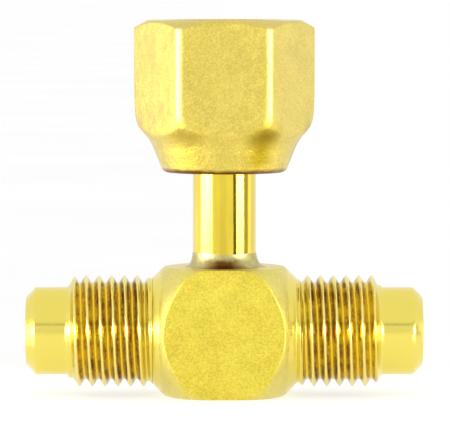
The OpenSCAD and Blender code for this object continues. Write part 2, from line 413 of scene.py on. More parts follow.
def block_reach(direction):
    """Distance from the block's middle to its surface along unit directions: flats, sphere and cones."""
    x, y, z = (np.abs(direction[..., i]) for i in range(3))
    cone = BLOCK_CHAMFER / (x + np.hypot(y, z))
    turned = soft_min(cone, BLOCK_R, BLEND_EDGE)
    flats = soft_min(HALF_BLOCK / np.maximum(y, 1e-6), HALF_BLOCK / np.maximum(z, 1e-6), PAD_EDGE)
    return soft_min(turned, flats, PAD_EDGE)


def face_direction(axis, up, polar, angle):
    """Unit directions at a polar angle from one face's axis."""
    across = np.cross(axis, up)
    ring = np.cos(angle)[..., None] * up + np.sin(angle)[..., None] * across
    return np.cos(polar)[..., None] * axis + np.sin(polar)[..., None] * ring


def block_row(axis, up, polar):
    direction = face_direction(axis, up, polar, TEE_ANGLE)
    return np.array((0, 0, RUN_Z)) + direction * block_reach(direction)[..., None]


def face_limit():
    """Polar angle at which each column of a face meets the next face."""
    return np.arctan(1 / np.maximum(np.abs(np.cos(TEE_ANGLE)), np.abs(np.sin(TEE_ANGLE))))


def pad_edge(axis, up):
    """Polar angle of each column where the flat pad meets the turned surface, found by halving."""
    low, high = np.full(TEE_COLUMNS, 0.2), face_limit()
    for _ in range(40):
        middle = (low + high) / 2
        direction = face_direction(axis, up, middle, TEE_ANGLE)
        x = np.abs(direction[..., 0])
        turned = np.minimum(BLOCK_CHAMFER / (x + np.hypot(direction[..., 1], direction[..., 2])), BLOCK_R)
        inside = HALF_BLOCK / np.cos(middle) < turned
        low = np.where(inside, middle, low)
        high = np.where(inside, high, middle)
    return high


def pad_rows(axis, up):
    """Rows of one pad and of the turned surface round it, closest together at the pad's edge."""
    limit, edge = face_limit(), pad_edge(axis, up)
    polars = [edge * t for t in (0.12, 0.28, 0.45, 0.62, 0.78, 0.9)]
    polars += [edge + step for step in (-0.022, -0.013, -0.007, -0.002, 0.003, 0.008, 0.014, 0.023)]
    rest = np.maximum(limit, edge + 0.023)
    polars += [edge + 0.023 + (rest - edge - 0.023) * t for t in np.linspace(0, 1, 8)[1:]]
    return [block_row(axis, up, np.minimum(polar, limit)) for polar in polars]


def build_tee_body():
    skin = Skin()
    axis_x = np.array((1.0, 0, 0))
    back = np.array((0, 1.0, 0))
    up = np.array((0, 0, 1.0))

    # four pads round the run, and the sphere's strip round each
    for axis, first in ((back, up), (-back, up), (up, back), (-up, back)):
        ids = skin.add(pad_rows(axis, first))
        skin.band(ids)
        skin.cap(ids[0], np.array((0, 0, RUN_Z)) + axis * HALF_BLOCK)

    # the sphere's strip, fillet, thread, nose, mouth and bore on each side, then the chamber between them
    chamber_ends = {}
    for side in (-1, 1):
        touch = math.atan2(BLOCK_CHAMFER - TOUCH_W, TOUCH_W)
        limit = face_limit()
        strip = [block_row(axis_x * side, back, touch + (limit - touch) * t) for t in np.linspace(1, 0, 9)]
        ids = skin.add(strip + shank_fillet_rows(side))
        skin.band(ids)

        thread_ids, place = port_outside(skin, side)
        skin.helix_band(thread_ids, place)
        near, far = (thread_ids[0], thread_ids[-1]) if side > 0 else (thread_ids[-1], thread_ids[0])
        skin.band(np.array([ids[-1], near]))

        nose_ids = skin.add(plain_rows(nose_outline(side)))
        skin.band(np.vstack([far[None], nose_ids]))

        bore_ids, place = port_bore(skin, side)
        skin.helix_band(bore_ids, place)
        outer, inner = (bore_ids[-1], bore_ids[0]) if side > 0 else (bore_ids[0], bore_ids[-1])
        skin.band(np.array([nose_ids[-1], outer]))
        taper_ids = skin.add(plain_rows([(side * w, CHAMBER_R) for w in (HALF_RUN - 7.4, HALF_RUN - 9, 3)]))
        skin.band(np.vstack([inner[None], taper_ids]))
        chamber_ends[side] = taper_ids[-1]
    skin.band(np.array([chamber_ends[-1], chamber_ends[1]]))

    body = make_object("tee_body_brass", skin.points, skin.faces)
    socket_r = STEM_R + SOCKET_GAP
    hole = [
        (0, -0.2), (STEM_BORE_R, -0.2), (STEM_BORE_R, SOCKET_FLOOR), (socket_r, SOCKET_FLOOR),
        (socket_r, HALF_BLOCK + 1), (0, HALF_BLOCK + 1),
    ]
    tool = lathe("socket_tool", [(r, h + RUN_Z) for r, h in hole], upright, 96, closed=False)
    return cut(body, tool)


# ---------------------------------------------------------------- swivel nut

NUT_FACE_COLUMNS = 14
NUT_CORNER_COLUMNS = 10
CORNER_CENTRE = (NUT_HALF_FLATS - NUT_CORNER_ROUND) / math.cos(TAU / 12)
CORNER_TANGENT = math.atan2(NUT_CORNER_ROUND * 0.5, CORNER_CENTRE + NUT_CORNER_ROUND * math.cos(TAU / 12))


def nut_angles():
    """Column angles, closer together round each of the six corners. The first corner points along +X."""
    half_corner = CORNER_TANGENT * 1.25
    corner = np.linspace(-half_corner, half_corner, NUT_CORNER_COLUMNS, endpoint=False)
    face = np.linspace(half_corner, TAU / 6 - half_corner, NUT_FACE_COLUMNS, endpoint=False)
    sector = np.concatenate([corner, face])
    return np.concatenate([sector + i * TAU / 6 for i in range(6)])


def hex_radius(angle):
    """Distance from the axis to the hexagon's side, its corners rounded."""
    from_corner = (angle + TAU / 12) % (TAU / 6) - TAU / 12
    flat = NUT_HALF_FLATS / np.cos(TAU / 12 - np.abs(from_corner))
    inside = np.clip(NUT_CORNER_ROUND ** 2 - (CORNER_CENTRE * np.sin(from_corner)) ** 2, 0, None)
    curve = CORNER_CENTRE * np.cos(from_corner) + np.sqrt(inside)
    return np.where(np.abs(from_corner) < CORNER_TANGENT, np.minimum(curve, flat), flat)


def nut_limit():
    """(radius, height) of the turned outside under the hexagon: rim, taper and hollow shoulder."""
    points = arc((5.57, 0.8), 0.8, 270, 340, 8)
    points += arc((11.15, 0.7), 4.4, 160, 132, 14)
    points += [(8.85, 4.62), (9.12, 5.02), (12.0, 8.5)]
    return np.array(points)


def build_swivel_nut():
    angle = nut_angles()
    hexagon = hex_radius(angle)
    limit = nut_limit()
    base = NUT_LOW[2]

    def limit_radius(z):
        return np.interp(z, limit[:, 1], limit[:, 0])

    # rows of the outside: rim, taper, then rows that follow the hexagon's lower and upper edges
    meet = np.interp(hexagon, limit[:, 0], limit[:, 1])
    crown_slope = math.tan(math.radians(30))
    crown = NUT_H - (hexagon - CROWN_R) * crown_slope
    heights, radii = [], []

    def outside(z):
        corner = (hexagon - NUT_HALF_FLATS) / (NUT_HIGH[0] - NUT_HALF_FLATS)
        lower = soft_min(hexagon, limit_radius(z), 0.2 + 0.5 * corner)
        heights.append(z)
        radii.append(soft_min(lower, CROWN_R + (NUT_H - z) / crown_slope, 0.07))

    for _, z in limit[1:9]:
        outside(np.full(len(angle), z))
    start = limit[8, 1]
    for t in np.linspace(0, 1, 16)[1:]:
        outside(start + (meet - 0.45 - start) * t)
    for step in (-0.33, -0.24, -0.16, -0.08, 0, 0.08, 0.16, 0.24, 0.34, 0.46):
        outside(meet + step)
    low_face, high_face = meet + 0.46, crown - 0.3
    for t in np.linspace(0, 1, 24)[1:]:
        outside(low_face + (high_face - low_face) * t)
    for step in (-0.2, -0.13, -0.08, -0.04, 0, 0.04, 0.08, 0.13):
        outside(crown + np.minimum(step, (NUT_H - crown) * 0.3))
    for t in np.linspace(0.35, 0.97, 5):
        outside(crown + 0.13 + (NUT_H - crown - 0.13) * t)

    skin = Skin()
    floor_ring = [upright(r, angle, base) for r in (NECK_MOUTH_R, 4.6)]
    rim = upright(limit[0, 0], angle, limit[0, 1] + base)
    sides = [upright(r, angle, z + base) for r, z in zip(radii, heights)]
    top = [upright(r, angle, NUT_H + base) for r in (CROWN_R - 0.05, 6.6, NUT_RELIEF_R + 0.2)]
    outer_ids = skin.add(floor_ring + [rim] + sides + top)
    skin.band(outer_ids)

    # inside thread, on the same columns
    thread_low, thread_high = 7.6, NUT_H - 0.01
    crest = 9.4
    turn_rows = helix_rows(thread_low, thread_high, crest, PITCH, COARSE_PHASES, 14, angle / TAU)
    phase = (turn_rows - crest) / PITCH - angle / TAU
    height = thread_shape(phase)
    root_r = NUT_RELIEF_R - 0.05
    thread = root_r - (root_r - NUT_THREAD_R) * height
    mouth = NUT_RELIEF_R + 0.12 - (NUT_H - turn_rows)
    relief = NUT_RELIEF_R - (turn_rows - 7.7)
    inner = soft_max(soft_max(thread, mouth, 0.05), np.minimum(relief, NUT_RELIEF_R), 0.05)
    thread_ids = skin.add(upright(inner, angle, turn_rows + base))
    skin.helix_band(thread_ids, turn_rows)
    skin.band(np.array([outer_ids[-1], thread_ids[-1]]))

    seat_top = SEAT_Z + SEAT_R - NUT_BORE_R
    bore = rounded([
        (NUT_RELIEF_R, 7.55, 0), (NUT_RELIEF_R, seat_top, 0.15), (SEAT_R, seat_top, 0.05),
        (NUT_BORE_R, SEAT_Z, 0.1), (NUT_BORE_R, 0.34, 0.05), (3.56, 0.0, 0.05), (NECK_MOUTH_R, 0, 0),
    ], 3, closed=False)
    bore_ids = skin.add([upright(r, angle, z + base) for r, z in bore[:-1]])
    skin.band(np.vstack([thread_ids[:1], bore_ids]))
    skin.band(np.array([bore_ids[-1], outer_ids[0]]))
    return make_object("swivel_nut_brass", skin.points, skin.faces)


# ---------------------------------------------------------------- stem and what is in the branch

def build_swivel_stem():
    rim_top = STEM_HIGH[2]
    rim_low = rim_top - 0.84
    bend = rim_low - (FLARE_R - STEM_R)
    corners = [
        (STEM_BORE_R, STEM_LOW[2], 0.1), (STEM_R, STEM_LOW[2], 0.2), (STEM_R, bend, 1.0),
        (FLARE_R, rim_low, 0.12), (FLARE_R, rim_low + 0.6, 0.12), (FLARE_R - 0.24, rim_top, 0.12),
        (STEM_BORE_R, bend, 0.8),
    ]
    return lathe("swivel_stem_brass", rounded(corners, 6), upright, 128)


def build_braze_fillet():
    low, high = BRAZE_LOW[2], BRAZE_HIGH[2]
    width = BRAZE_HIGH[0] - STEM_R
    hollow = np.radians(np.linspace(90, 0, 15))[:-1]
    outline = [(STEM_R, low)]
    outline += [(STEM_R + width * (1 - math.cos(a)), low + (high - low) * (1 - math.sin(a))) for a in hollow]
    outline.append((STEM_R, high))

    def flow(r, z, angle):
        """The alloy ran a little further to the right, and its edge wanders."""
        reach = (r - STEM_R) / width
        climb = (z - low) / (high - low)
        edge = 0.10 * np.cos(angle) + 0.035 * np.sin(3 * angle + 0.6) + 0.02 * np.sin(7 * angle + 1.9) - 0.12
        lip = 0.05 * np.sin(2 * angle + 1.1) + 0.025 * np.sin(5 * angle) - 0.07
        return r + reach * width * edge, z + climb * lip

    return lathe("braze_fillet_alloy", outline, upright, 128, wobble=flow)


def build_slip_washer():
    """A soft cone that the nut turns on, between the seat and the back of the flare."""
    low, high = WASHER_LOW[2], WASHER_HIGH[2]
    outer = WASHER_HIGH[0]
    rise = outer - NUT_BORE_R
    corners = [
        (NUT_BORE_R, low, 0.05), (outer, low + rise, 0.08),
        (outer, high, 0.08), (NUT_BORE_R, high - rise, 0.05),
    ]
    return lathe("slip_washer_bronze", rounded(corners, 3), upright, 128)


def build_core_depressor():
    """The pin that opens the mating port's valve, on a hub with three gas slots."""
    low, tip = DEPRESSOR_LOW[2], DEPRESSOR_HIGH[2]
    hub_top = low + 2.4
    pin_r = 0.65
    outline = rounded([
        (0, low, 0), (STEM_BORE_R - 0.12, low, 0.12), (STEM_BORE_R, low + 0.3, 0.1),
        (STEM_BORE_R, hub_top, 0.15), (pin_r, hub_top + STEM_BORE_R - pin_r, 0.4), (pin_r, tip - 0.25, 0.12),
        (pin_r - 0.25, tip, 0.1), (0, tip, 0),
    ], 5, closed=False)
    hub = lathe("core_depressor_brass", outline, upright, 96, closed=False)
    skin = Skin()
    slot = rounded([(pin_r, -0.55, 0.25), (3.0, -0.55, 0), (3.0, 0.55, 0), (pin_r, 0.55, 0.25)], 6)
    for i in range(3):
        turn = i * TAU / 3
        ring = np.array([(x * math.cos(turn) - y * math.sin(turn), x * math.sin(turn) + y * math.cos(turn), 0)
                         for x, y in slot])
        ids = skin.add([ring + (0, 0, low - 1), ring + (0, 0, tip + 1)])
        skin.band(ids)
        skin.faces += [tuple(ids[0]), tuple(ids[1][::-1])]
    return cut(hub, make_object("slot_tool", skin.points, skin.faces))


# ---------------------------------------------------------------- valve cores

def in_port(side):
    """A placing function that takes a depth below one port's face."""
    return lambda radius, angle, depth: along_run(radius, angle, side * (HALF_RUN - depth))


def port_name(side, piece):
    return ("left_" if side < 0 else "right_") + piece


def build_core_plug(side):
    """The screwed collar, with a thread, and the flat bar that a core tool grips."""
    put = in_port(side)
    columns = 96
    angle = np.arange(columns) * TAU / columns
    top, collar, end = 2.2, 3.75, 6.0
    hole_r, socket_r, socket_top = 1.0, 1.7, 5.6
    thread_r, bar_r, bar_half = CORE_THREAD_R - 0.04, 2.15, 1.2
    skin = Skin()

    # outside of the collar: a thread between two chamfers
    turned = -side * angle
    chamfer_l = 0.3
    crest = collar + chamfer_l
    rows = helix_rows(collar + 0.05, end - 0.05, crest, CORE_PITCH, COARSE_PHASES, 7, angle / TAU)
    phase = (rows - crest) / CORE_PITCH - angle / TAU
    height = thread_shape(phase)
    deep = thread_r - CORE_THREAD_DEPTH * (1 - height)
    chamfer = thread_r + 0.02 - np.clip(chamfer_l - (rows - collar), 0, None)
    chamfer -= np.clip(chamfer_l - (end - rows), 0, None)
    radius = soft_min(deep, chamfer, 0.04)
    thread_ids = skin.add(put(radius, turned, rows))
    skin.helix_band(thread_ids, rows)
    inner = [
        (thread_r - 0.45, end), (socket_r + 0.1, end), (socket_r, end - 0.1), (socket_r, socket_top),
        (hole_r + 0.05, socket_top), (hole_r, socket_top - 0.05), (hole_r, crest), (hole_r, collar + 0.05),
        (hole_r + 0.05, collar), (bar_r * 0.8, collar), (thread_r - 0.35, collar),
    ]
    inner_ids = skin.add([put(r, turned, d) for r, d in inner])
    skin.band(np.vstack([thread_ids[-1:], inner_ids, thread_ids[:1]]))
    plug = make_object(port_name(side, "core_plug_brass"), skin.points, skin.faces)

    # the bar: a round rod with two flats and rounded ends, over the hole
    bar = bar_outline(bar_r, bar_half)
    inner = ring_outline(hole_r, len(bar))
    skin = Skin()
    root = collar + 0.25
    outside = [(0.0, root), (0.0, top + 0.18), (0.06, top + 0.05), (0.2, top)]
    inside = [(-0.08, top), (0, top + 0.08), (0, root)]
    rows = [bar_rows(put, bar, inset, depth) for inset, depth in outside]
    ids = skin.add(rows + [bar_rows(put, inner, inset, depth) for inset, depth in inside])
    skin.band(np.vstack([ids, ids[:1]]))
    rod = make_object(port_name(side, "plug_bar_tool"), skin.points, skin.faces)
    return cut(plug, rod, "UNION")


def bar_outline(radius, half):
    """Outline of a round bar with two flats, as (x, y) points with rounded corners."""
    edge = math.sqrt(radius ** 2 - half ** 2)
    reach = math.degrees(math.atan2(half, edge))
    points = arc((0, 0), radius, -reach + 3, reach - 3, 12)
    points += [(x, half) for x in np.linspace(edge - 0.12, -edge + 0.12, 12)]
    points += arc((0, 0), radius, 180 - reach + 3, 180 + reach - 3, 12)
    points += [(x, -half) for x in np.linspace(-edge + 0.12, edge - 0.12, 12)]
    return np.array(points)


def ring_outline(radius, count):
    start = -math.radians(30)
    angles = start + np.arange(count) * TAU / count
    return np.stack([radius * np.cos(angles), radius * np.sin(angles)], 1)


def bar_rows(put, outline, inset, depth):
    """One ring of the bar at a depth, drawn in by inset."""
    radius = np.hypot(outline[:, 0], outline[:, 1]) - inset
    return put(radius, np.arctan2(outline[:, 1], outline[:, 0]), depth)


def build_core_parts(side):
    """The turned parts of one core, with radii and depths below the port's face."""
    put = in_port(side)
    turned = {
        "core_barrel": [
            (0.7, 12.0, 0.08), (1.7, 12.0, 0.12), (1.7, 7.9, 0.04), (1.84, 7.9, 0.05), (1.84, 7.6, 0.05),
            (1.7, 7.6, 0.04), (1.7, 5.6, 0.08), (1.1, 5.6, 0.08), (1.1, 11.4, 0.1), (0.7, 11.4, 0.08),
        ],
        "barrel_seal": [
            (1.7, 7.6, 0.02), (1.88, 7.6, 0.06), (1.88, 7.4, 0.05), (2.251, 6.1, 0.12), (1.7, 6.1, 0.05),
        ],
        "valve_cup": [
            (0.5, 13.4, 0), (1.6, 13.4, 0.22), (1.6, 12.25, 0.05), (1.45, 12.25, 0.05),
            (1.45, 12.9, 0.02), (0.5, 12.9, 0),
        ],
        "cup_seal": [
            (0.5, 12.9, 0), (1.45, 12.9, 0.02), (1.45, 12.02, 0.12), (0.9, 12.02, 0.1),
            (0.8, 12.1, 0.05), (0.5, 12.1, 0.05),
        ],
    }
    pieces = {
        name: lathe(port_name(side, name + "_piece"), rounded(corners, 4), put, 72)
        for name, corners in turned.items()
    }
    pin = rounded([
        (0, 13.8, 0), (0.8, 13.8, 0.25), (0.8, 13.4, 0.02), (0.5, 13.4, 0.02), (0.5, 6.8, 0.05),
        (0.95, 6.8, 0.08), (0.95, 6.4, 0.08), (0.5, 6.4, 0.05), (0.5, 1.1, 0.1), (0.3, 0.9, 0.12),
        (0, 0.9, 0),
    ], 4, closed=False)
    pieces["core_pin"] = lathe(port_name(side, "core_pin_piece"), pin, put, 64, closed=False)
    return pieces


# Depths of a spring's two ends below its port's face
SPRING_NEAR, SPRING_FAR = 6.83, 11.38


def build_core_spring(side):
    """A coil of round wire, its ends closed, from the pin's collar to the barrel's lip."""
    wire_r, coil_r, turns, sides, per_turn = 0.13, 0.86, 6, 10, 32
    near, far = SPRING_NEAR + wire_r, SPRING_FAR - wire_r
    steps = turns * per_turn
    share = np.linspace(0, 1, steps + 1)
    closed = smooth_step(share, 0, 0.16) * 0.5 + smooth_step(share, 0.84, 1) * 0.5
    depth = near + (far - near) * (0.72 * share + 0.28 * closed)
    turn = share * turns * TAU
    round_wire = np.arange(sides) * TAU / sides
    radius = coil_r + wire_r * np.cos(round_wire)[None, :]
    place = depth[:, None] + wire_r * np.sin(round_wire)[None, :]
    rows = in_port(side)(radius, turn[:, None], place)
    skin = Skin()
    ids = skin.add(rows)
    skin.band(ids)
    for end in (0, -1):
        skin.cap(ids[end], rows[end].mean(axis=0))
    return make_object(port_name(side, "core_spring_steel"), skin.points, skin.faces, 60)


# ---------------------------------------------------------------- materials

def socket_value(shader, values):
    for name, value in values.items():
        shader.inputs[name].default_value = value


class Surface:
    """One metal, rubber or plastic: a Principled shader with its nodes fed by object coordinates."""

    def __init__(self, name, **values):
        self.material = bpy.data.materials.new(name)
        self.material.use_nodes = True
        self.tree = self.material.node_tree
        self.shader = self.tree.nodes["Principled BSDF"]
        socket_value(self.shader, values)
        self.place = self.tree.nodes.new("ShaderNodeTexCoord").outputs["Object"]

    def node(self, kind, **settings):
        made = self.tree.nodes.new(kind)
        for name, value in settings.items():
            setattr(made, name, value)
        return made

    def link(self, source, target):
        self.tree.links.new(source, target)

    def scaled(self, scale):
        """Object coordinates, scaled by a different amount along each axis."""
        mapping = self.node("ShaderNodeMapping")
        mapping.inputs["Scale"].default_value = scale
        self.link(self.place, mapping.inputs["Vector"])
        return mapping.outputs["Vector"]

    def noise(self, size_mm, detail=2.0, roughness=0.5, stretch=(1, 1, 1), distortion=0.0):
        """Noise whose lumps are about size_mm across."""
        noise = self.node("ShaderNodeTexNoise")
        socket_value(noise, {"Scale": 1, "Detail": detail, "Roughness": roughness, "Distortion": distortion})
        scale = [s / (size_mm * MM) for s in stretch]
        self.link(self.scaled(scale), noise.inputs["Vector"])
        return noise.outputs["Fac"]

    def ramp(self, source, stops):
        """Colours or greys along a factor."""
        ramp = self.node("ShaderNodeValToRGB")
        elements = ramp.color_ramp.elements
        while len(elements) < len(stops):
            elements.new(0.5)
        for element, (position, colour) in zip(elements, stops):
            element.position = position
            element.color = (*colour, 1)
        self.link(source, ramp.inputs["Fac"])
        return ramp.outputs["Color"]

    def spread(self, source, low, high, start=0.3, end=0.7):
        """A factor mapped from start..end to low..high."""
        spread = self.node("ShaderNodeMapRange")
        socket_value(spread, {"From Min": start, "From Max": end, "To Min": low, "To Max": high})
        self.link(source, spread.inputs["Value"])
        return spread.outputs["Result"]

    def bump(self, source, depth_mm, before=None):
        """Adds relief of depth_mm over any bump before it."""
        bump = self.node("ShaderNodeBump")
        socket_value(bump, {"Strength": 1.0, "Distance": depth_mm * MM})
        self.link(source, bump.inputs["Height"])
        if before:
            self.link(before, bump.inputs["Normal"])
        return bump.outputs["Normal"]

    def math(self, operation, *values):
        """A Math node over sockets and numbers."""
        node = self.node("ShaderNodeMath", operation=operation)
        for socket, value in zip(node.inputs, values):
            if isinstance(value, (int, float)):
                socket.default_value = value
            else:
                self.link(value, socket)
        return node.outputs[0]

    def times(self, a, b):
        return self.math("MULTIPLY", a, b)

    def plus(self, a, b):
        return self.math("ADD", a, b)

    def distance(self, a, b):
        """Distance from an axis, from the two coordinates across it."""
        return self.math("SQRT", self.plus(self.times(a, a), self.times(b, b)))

    def rise(self, source, start, end):
        """Climbs from 0 to 1 between two places in millimetres."""
        return self.spread(source, 0, 1, start * MM, end * MM)

    def fall(self, source, start, end):
        return self.spread(source, 1, 0, start * MM, end * MM)

    def coordinates(self):
        """Object coordinates one by one, in metres."""
        split = self.node("ShaderNodeSeparateXYZ")
        self.link(self.place, split.inputs[0])
        return split.outputs

    def mix(self, factor, first, second):
        """Blends two colours, each a socket or a plain colour."""
        mix = self.node("ShaderNodeMix", data_type="RGBA")
        self.link(factor, mix.inputs[0])
        for socket, value in ((mix.inputs[6], first), (mix.inputs[7], second)):
            if isinstance(value, tuple):
                socket.default_value = (*value, 1)
            else:
                self.link(value, socket)
        return mix.outputs[2]

    def finish(self, colour=None, roughness=None, normal=None):
        for socket, source in (("Base Color", colour), ("Roughness", roughness), ("Normal", normal)):
            if source:
                self.link(source, self.shader.inputs[socket])
        return self.material


def grey(value):
    return (value,) * 3


BRASS = (0.90, 0.70, 0.075)
BRASS_DEEP = (0.80, 0.56, 0.035)
BRASS_PALE = (0.93, 0.78, 0.16)
STEM_TONE = (0.83, 0.64, 0.010)
STEM_DEEP = (0.76, 0.55, 0.010)
STEM_PALE = (0.90, 0.72, 0.060)
PAD = (0.78, 0.62, 0.018)
PAD_DEEP = (0.64, 0.47, 0.004)
PAD_PALE = (0.88, 0.73, 0.06)
SKIN = (0.77, 0.65, 0.095)
SKIN_DEEP = (0.68, 0.55, 0.06)
SKIN_PALE = (0.84, 0.73, 0.15)
PORT = (0.87, 0.72, 0.12)
# Painted highlight: a paler colour for the thread crests
PAINTED_CREST_HIGHLIGHT = (0.92, 0.79, 0.24)
# Painted shade for the thread's grooves: a deeper gold for the roots, and gold, olive and brown for the flanks
PAINTED_ROOT_SHADE_GOLD = (0.84, 0.60, 0.03)
PAINTED_FLANK_SHADE_GOLD = (0.70, 0.50, 0.025)
PAINTED_FLANK_SHADE_OLIVE = (0.44, 0.28, 0.012)
NUT_TONE = (0.70, 0.535, 0.035)
NUT_DEEP = (0.60, 0.435, 0.015)
NUT_PALE = (0.80, 0.64, 0.08)
# Painted shade in olive, under the nut's corners
NUT_PAINTED_SHADE_OLIVE = (0.36, 0.25, 0.002)
# Paler worn colour for the nut's corner ridges, which also paints in their highlights
NUT_WORN_AND_HIGHLIGHT = (0.82, 0.70, 0.12)
# Painted shade in brown, for the braze fillet's foot
PAINTED_FOOT_SHADE_BROWN = (0.16, 0.06, 0.006)
# Painted shade in dark brown, used on the thread flanks and along the nut's lower rim
PAINTED_SHADE_BROWN = (0.20, 0.06, 0.005)


def forged_brass():
    """Tumbled forged brass: golden pads, a paler skin, bright turned ports, painted shade in the thread roots
    and flanks, and a painted highlight on the crests.
    """
    s = Surface("forged_brass_finish", Metallic=1.0, **{"Coat Roughness": 0.55, "Coat IOR": 1.6})
    x, y, z = s.coordinates()
    across = s.math("SUBTRACT", z, float(RUN_Z * MM))
    radius = s.distance(y, across)
    out = s.math("ABSOLUTE", x)
    turned = s.rise(out, 6.0, HALF_BLOCK)
    thread = s.times(s.rise(out, 7.6, 8.4), s.fall(out, 14.7, 15.3))
    root = s.times(thread, s.fall(radius, 4.83, 4.92))
    painted_flank_shade_mask = s.times(thread, s.times(s.rise(radius, 4.84, 4.96), s.fall(radius, 5.2, 5.4)))
    crest = s.times(thread, s.rise(radius, 5.35, 5.5))
    flattest = s.math("MAXIMUM", s.math("ABSOLUTE", y), s.math("ABSOLUTE", across))
    pad = s.rise(flattest, 6.34, 6.39)
    grain = s.noise(0.15, 2.0, 0.6)
    blotch = s.noise(2.6, 3.0, 0.6)
    speckle = s.plus(s.times(grain, 0.75), s.times(blotch, 0.25))
    colour = s.ramp(speckle, [(0.36, PAD_DEEP), (0.5, PAD), (0.64, PAD_PALE)])
    skin = s.ramp(speckle, [(0.36, SKIN_DEEP), (0.5, SKIN), (0.64, SKIN_PALE)])
    colour = s.mix(pad, skin, colour)
    colour = s.mix(turned, colour, PORT)
    # painted highlight: the thread crests take a paler colour
    colour = s.mix(crest, colour, PAINTED_CREST_HIGHLIGHT)
    # painted shade: a deeper gold in the thread roots, and gold through olive to brown on the flanks by a
    # noise, browner towards the block
    colour = s.mix(root, colour, PAINTED_ROOT_SHADE_GOLD)
    painted_shade = s.times(s.plus(s.noise(0.28, 2.0, 0.6), s.noise(1.6, 2.0)), 0.5)
    painted_shade = s.plus(painted_shade, s.spread(out, 0.09, -0.05, 0.008, 0.015))
    colour = s.mix(painted_flank_shade_mask, colour, s.ramp(painted_shade, [(0.43, PAINTED_FLANK_SHADE_GOLD), (0.52, PAINTED_FLANK_SHADE_OLIVE), (0.61, PAINTED_SHADE_BROWN)]))
    rough_forged = s.spread(s.noise(1.3, 2.0), 0.30, 0.42)
    rings = s.noise(0.09, 2.0, 0.6, (1, 0.12, 0.12))
    rough_turned = s.spread(rings, 0.12, 0.24)
    flat = s.math("SUBTRACT", 1.0, turned)
    roughness = s.plus(s.times(rough_forged, flat), s.times(rough_turned, turned))
    s.link(s.spread(turned, 1.0, 0.4, 0, 1), s.shader.inputs["Coat Weight"])
    pebbles = s.times(s.plus(grain, s.noise(1.5, 1.0)), flat)
    normal = s.bump(pebbles, 0.05)
    normal = s.bump(s.times(rings, turned), 0.002, normal)
    return s.finish(colour, roughness, normal)


def nut_brass():
    """Bar brass with lightly tumbled flats, painted shade under the corners and along the lower rim, and paler
    worn corner ridges that also paint in the highlights.
    """
    s = Surface("nut_brass_finish", Metallic=1.0, **{"Coat Roughness": 0.55, "Coat IOR": 1.7})
    x, y, z = s.coordinates()
    grain = s.noise(0.17, 2.0, 0.6)
    speckle = s.plus(s.times(grain, 0.75), s.times(s.noise(2.2, 3.0, 0.6), 0.25))
    colour = s.ramp(speckle, [(0.36, NUT_DEEP), (0.5, NUT_TONE), (0.64, NUT_PALE)])
    low = NUT_LOW[2]
    edge = s.plus(z, s.times(s.noise(1.2, 2.0), 0.5 * MM))
    # painted shade: olive in the hollow under each of the six corners, stronger towards +X, for the shade
    # beneath them
    sixfold = s.math("COSINE", s.times(s.math("ARCTAN2", y, x), 6.0))
    corner = s.spread(sixfold, 0, 1, -0.2, 1.0)
    hollow = s.times(s.rise(edge, low + 0.2, low + 1.4), s.fall(edge, low + 4.2, low + 5.6))
    painted_shade = s.times(s.times(corner, hollow), s.spread(x, 0.35, 1.0, -0.004, 0.004))
    # painted shade: dark brown along the lower rim, for the dark reflection there
    rim = s.fall(edge, low + 0.4, low + 0.8)
    dull = s.math("MAXIMUM", s.times(painted_shade, 0.9), rim)
    s.link(s.math("SUBTRACT", 1.0, dull), s.shader.inputs["Coat Weight"])
    # wear and painted highlight: a paler colour on the upper corner ridges, which also paints in the whiter
    # corner highlights
    ridge = s.plus(sixfold, s.times(s.noise(1.4, 2.0), 0.04))
    worn = s.times(s.spread(ridge, 0, 0.8, 0.985, 1.005), s.rise(edge, low + 5.0, low + 6.2))
    worn = s.times(worn, s.rise(s.distance(x, y), 8.6, 8.8))
    colour = s.mix(worn, colour, NUT_WORN_AND_HIGHLIGHT)
    colour = s.mix(painted_shade, colour, NUT_PAINTED_SHADE_OLIVE)
    colour = s.mix(rim, colour, PAINTED_SHADE_BROWN)
    roughness = s.spread(s.noise(1.1, 2.0), 0.28, 0.38)
    normal = s.bump(s.noise(0.9, 1.0), 0.06)
    normal = s.bump(grain, 0.05, normal)
    return s.finish(colour, roughness, normal)


def grained(s, tones, patches, grain, roughness, depth_mm):
    """Patches of colour and a fine grain, each given by its noise's arguments."""
    fine = s.noise(*grain)
    return s.finish(s.ramp(s.noise(*patches), tones), s.spread(fine, *roughness), s.bump(fine, depth_mm))


def stem_brass():
    """Drawn tube, polished, with faint lines along its length."""
    s = Surface("drawn_tube_finish", Metallic=1.0, **{
        "Coat Weight": 1.0, "Coat Roughness": 0.06, "Coat IOR": 1.6})
    tones = [(0.35, STEM_DEEP), (0.6, STEM_TONE), (0.8, STEM_PALE)]
    patches, lines = (1.6, 2.0, 0.5, (1, 1, 0.25)), (0.12, 2.0, 0.6, (1, 1, 0.04))
    return grained(s, tones, patches, lines, (0.05, 0.11), 0.002)


def turned_brass():
    """Screw-machine brass with fine tool rings."""
    s = Surface("turned_brass_finish", Metallic=1.0, **{
        "Coat Weight": 0.3, "Coat Roughness": 0.2, "Coat IOR": 1.5, "Specular Tint": (1.0, 0.97, 0.85, 1)})
    tones = [(0.3, BRASS_DEEP), (0.55, BRASS), (0.8, BRASS_PALE)]
    return grained(s, tones, (0.9, 2.0), (0.07, 2.0, 0.6, (1, 0.15, 0.15)), (0.16, 0.3), 0.003)


